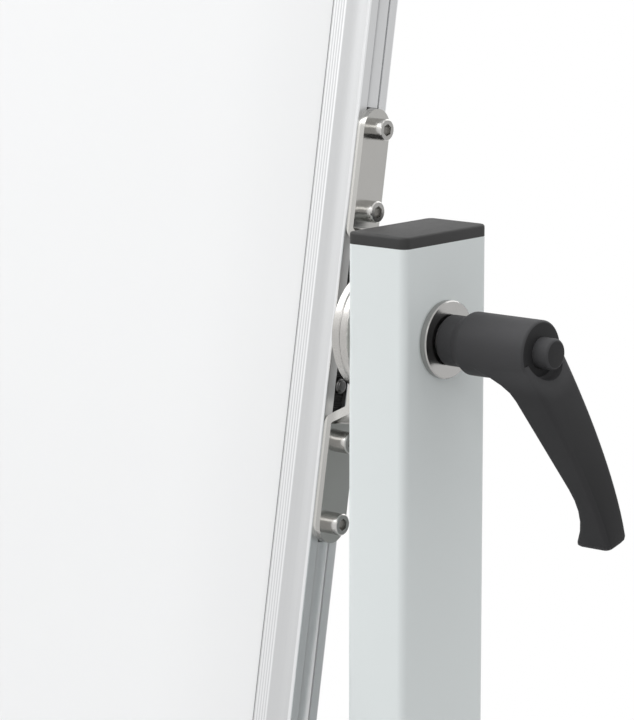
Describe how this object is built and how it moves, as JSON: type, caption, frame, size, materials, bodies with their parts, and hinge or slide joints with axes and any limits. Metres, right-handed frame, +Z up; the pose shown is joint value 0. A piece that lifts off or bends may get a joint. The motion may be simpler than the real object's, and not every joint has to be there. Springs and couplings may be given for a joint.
{
  "type": "flip chart easel",
  "caption": "Mobile flip chart easel: a framed white board that turns between two posts on clamped friction pivots, with pen tray, paper hooks and castors.",
  "frame": {"origin": "on the floor, midway between the posts and below the pivot axis", "axes": "+Z up, +X to the right-hand lever as seen by the writer, -Y towards the writer"},
  "size_m": [1.0148, 0.64, 1.8078],
  "materials": {
    "post_paint": "pale grey satin powder coat",
    "cap_plastic": "fine-grained black plastic",
    "lever_plastic": "matt charcoal glass-filled plastic",
    "corner_plastic": "light grey moulded plastic",
    "frame_aluminium": "satin anodised, extrusion lines",
    "board_enamel": "smooth white writing enamel",
    "board_core": "honeycomb core board",
    "satin_nickel": "satin nickel plate",
    "disc_steel": "finely turned, satin plate",
    "screw_nickel": "bright nickel plate",
    "polished_steel": "polished steel",
    "zinc_steel": "bright zinc plate",
    "black_steel": "black oxide",
    "burnished_steel": "burnished dark steel",
    "wheel_plastic": "dark grey moulded plastic",
    "tyre_rubber": "grey non-marking rubber"
  },
  "bodies": {
    "stand": {"post_right": "post_paint", "post_left": "post_paint", "post_caps": "cap_plastic", "foot_right": "post_paint", "foot_left": "post_paint", "foot_plugs": "cap_plastic", "crossbar": "post_paint", "crossbar_bolts": "zinc_steel", "foot_bolts": "zinc_steel", "pivot_bolts": "zinc_steel", "pivot_sleeves": "zinc_steel", "clamp_washers": "polished_steel", "post_discs": "disc_steel", "castor_stems": "zinc_steel"},
    "board": {"frame_top": "frame_aluminium", "frame_bottom": "frame_aluminium", "frame_left": "frame_aluminium", "frame_right": "frame_aluminium", "frame_corners": "corner_plastic", "panel_core": "board_core", "front_sheet": "board_enamel", "back_sheet": "board_enamel", "slot_covers": "frame_aluminium", "bracket_right": "satin_nickel", "bracket_left": "satin_nickel", "bracket_screws": "screw_nickel", "slot_nut_bars": "black_steel", "slot_set_screws": "burnished_steel", "board_discs": "disc_steel", "pen_tray": "frame_aluminium", "pen_tray_caps": "cap_plastic", "pen_tray_screws": "zinc_steel"},
    "lever_right": {"lever_handle_right": "lever_plastic", "lever_insert_right": "zinc_steel", "lever_spring_right": "zinc_steel"},
    "button_right": {"lever_button_right": "lever_plastic"},
    "paper_hook_right": {"paper_hook_right": "lever_plastic"},
    "lever_left": {"lever_handle_left": "lever_plastic", "lever_insert_left": "zinc_steel", "lever_spring_left": "zinc_steel"},
    "button_left": {"lever_button_left": "lever_plastic"},
    "paper_hook_left": {"paper_hook_left": "lever_plastic"},
    "castor_front_right": {"castor_fork_front_right": "zinc_steel", "castor_axle_front_right": "zinc_steel"},
    "wheel_front_right": {"castor_wheel_front_right": "wheel_plastic", "castor_tyre_front_right": "tyre_rubber"},
    "castor_front_left": {"castor_fork_front_left": "zinc_steel", "castor_axle_front_left": "zinc_steel"},
    "wheel_front_left": {"castor_wheel_front_left": "wheel_plastic", "castor_tyre_front_left": "tyre_rubber"},
    "castor_rear_right": {"castor_fork_rear_right": "zinc_steel", "castor_axle_rear_right": "zinc_steel"},
    "wheel_rear_right": {"castor_wheel_rear_right": "wheel_plastic", "castor_tyre_rear_right": "tyre_rubber"},
    "castor_rear_left": {"castor_fork_rear_left": "zinc_steel", "castor_axle_rear_left": "zinc_steel"},
    "wheel_rear_left": {"castor_wheel_rear_left": "wheel_plastic", "castor_tyre_rear_left": "tyre_rubber"},
    "pedal_front_right": {"brake_pedal_front_right": "lever_plastic"},
    "pedal_front_left": {"brake_pedal_front_left": "lever_plastic"}
  },
  "joints": [
    {"name": "board_tilt", "type": "hinge", "parent": "stand", "child": "board", "pos_m": [0, -0.002, 1.29], "axis": [1, 0, 0], "continuous": true},
    {"name": "lever_right_turn", "type": "hinge", "parent": "stand", "child": "lever_right", "pos_m": [0.4255, -0.002, 1.29], "axis": [1, 0, 0], "range_deg": [0, 180]},
    {"name": "lever_right_press", "type": "slide", "parent": "lever_right", "child": "button_right", "axis": [-1, 0, 0], "range_m": [0, 0.004], "stiffness_N_per_m": 400, "springref_m": -0.003, "deforming": ["lever_spring_right"]},
    {"name": "lever_left_turn", "type": "hinge", "parent": "stand", "child": "lever_left", "pos_m": [-0.4255, -0.002, 1.29], "axis": [-1, 0, 0], "range_deg": [0, 180]},
    {"name": "lever_left_press", "type": "slide", "parent": "lever_left", "child": "button_left", "axis": [1, 0, 0], "range_m": [0, 0.004], "stiffness_N_per_m": 400, "springref_m": -0.003, "deforming": ["lever_spring_left"]},
    {"name": "paper_hook_right_slide", "type": "slide", "parent": "board", "child": "paper_hook_right", "axis": [1, 0, 0], "range_m": [-0.09, 0.09]},
    {"name": "paper_hook_left_slide", "type": "slide", "parent": "board", "child": "paper_hook_left", "axis": [-1, 0, 0], "range_m": [-0.09, 0.09]},
    {"name": "castor_front_right_swivel", "type": "hinge", "parent": "stand", "child": "castor_front_right", "pos_m": [0.40875, -0.254, 0.07], "axis": [0, 0, 1], "continuous": true},
    {"name": "wheel_front_right_roll", "type": "hinge", "parent": "castor_front_right", "child": "wheel_front_right", "pos_m": [0.40875, -0.278, 0.03], "axis": [1, 0, 0], "continuous": true},
    {"name": "castor_front_left_swivel", "type": "hinge", "parent": "stand", "child": "castor_front_left", "pos_m": [-0.40875, -0.254, 0.07], "axis": [0, 0, 1], "continuous": true},
    {"name": "wheel_front_left_roll", "type": "hinge", "parent": "castor_front_left", "child": "wheel_front_left", "pos_m": [-0.40875, -0.278, 0.03], "axis": [1, 0, 0], "continuous": true},
    {"name": "castor_rear_right_swivel", "type": "hinge", "parent": "stand", "child": "castor_rear_right", "pos_m": [0.40875, 0.254, 0.07], "axis": [0, 0, 1], "continuous": true},
    {"name": "wheel_rear_right_roll", "type": "hinge", "parent": "castor_rear_right", "child": "wheel_rear_right", "pos_m": [0.40875, 0.278, 0.03], "axis": [1, 0, 0], "continuous": true},
    {"name": "castor_rear_left_swivel", "type": "hinge", "parent": "stand", "child": "castor_rear_left", "pos_m": [-0.40875, 0.254, 0.07], "axis": [0, 0, 1], "continuous": true},
    {"name": "wheel_rear_left_roll", "type": "hinge", "parent": "castor_rear_left", "child": "wheel_rear_left", "pos_m": [-0.40875, 0.278, 0.03], "axis": [1, 0, 0], "continuous": true},
    {"name": "brake_front_right", "type": "hinge", "parent": "castor_front_right", "child": "pedal_front_right", "pos_m": [0.40875, -0.288, 0.064], "axis": [1, 0, 0], "range_deg": [0, 10]},
    {"name": "brake_front_left", "type": "hinge", "parent": "castor_front_left", "child": "pedal_front_left", "pos_m": [-0.40875, -0.288, 0.064], "axis": [1, 0, 0], "range_deg": [0, 10]}
  ]
}
